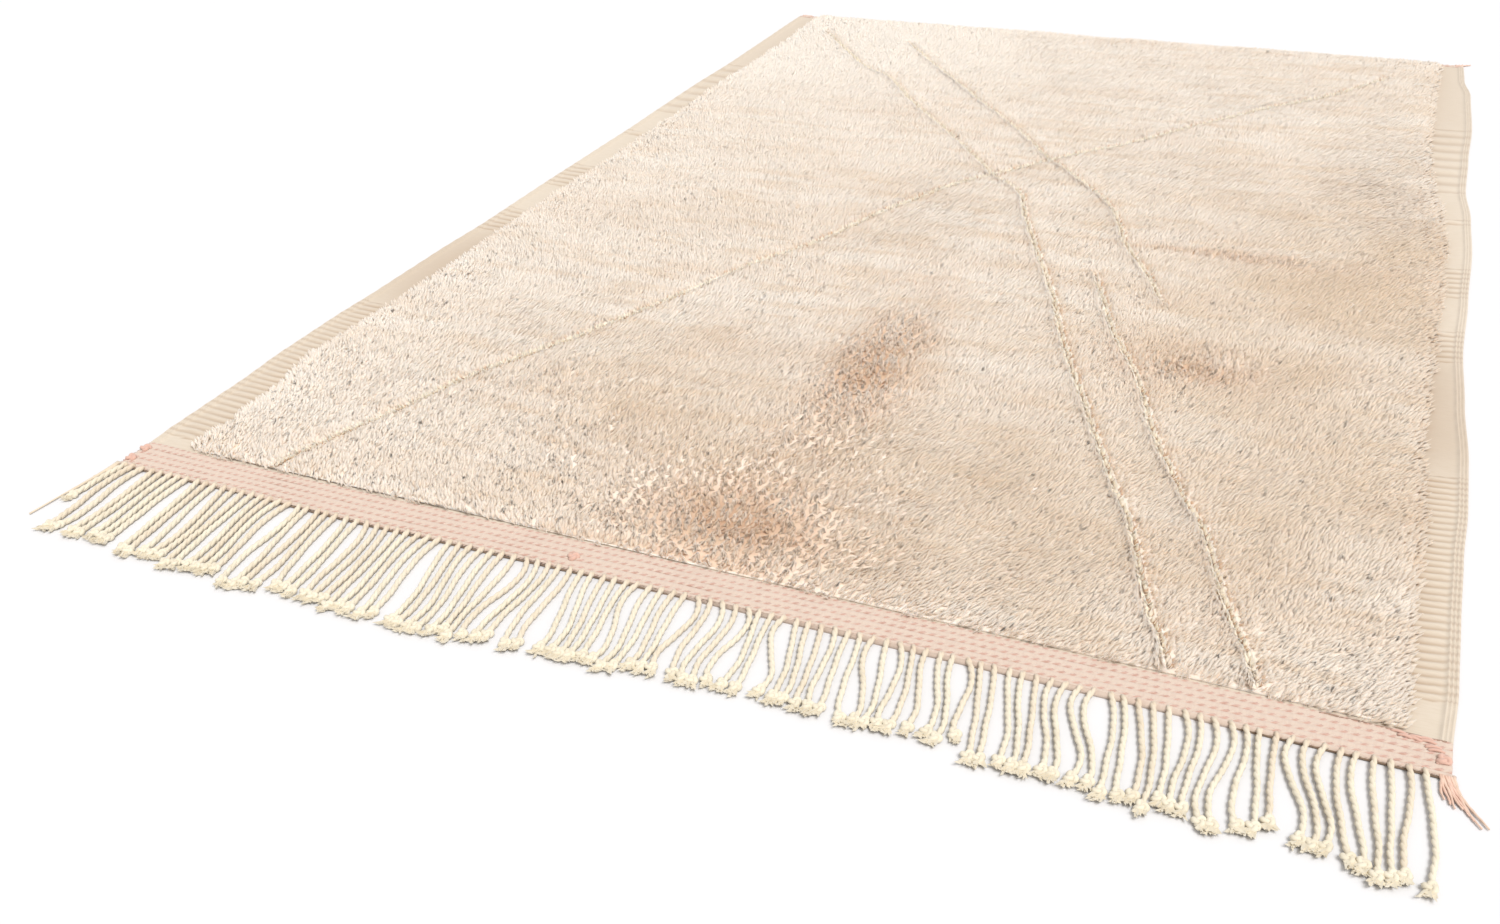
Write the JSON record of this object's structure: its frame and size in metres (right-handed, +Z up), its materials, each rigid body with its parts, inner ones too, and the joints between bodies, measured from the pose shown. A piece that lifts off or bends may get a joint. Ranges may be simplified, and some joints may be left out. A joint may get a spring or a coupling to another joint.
{
  "type": "beni ourain rug",
  "caption": "Deep-pile wool rug lying flat, with lines drawn in the pile, flat-woven side edges, twined headings and a knotted fringe along one end.",
  "frame": {"origin": "on the floor, at the middle of the cloth between its side edges and its two headings", "axes": "+Z up from the floor, +Y along the rug towards its plain end, so the fringe is at -Y, and +X across it"},
  "size_m": [2.0435, 3.3675, 0.0208],
  "materials": {
    "pile_wool": "dense hand-knotted wool pile, pale peach beige, matte with a soft sheen",
    "heading_wool": "twined wool weft, pale pink, matte",
    "warp_yarn": "plied cream wool warp, matte",
    "loose_yarn": "loose dusty pink wool ends, matte"
  },
  "bodies": {
    "root": {"rug_body": "pile_wool", "heading_front": "heading_wool", "heading_back": "heading_wool", "fringe_front": "warp_yarn", "ends_front_right": "loose_yarn", "ends_front_left": "loose_yarn", "ends_back_right": "loose_yarn", "ends_back_left": "loose_yarn"}
  },
  "joints": []
}
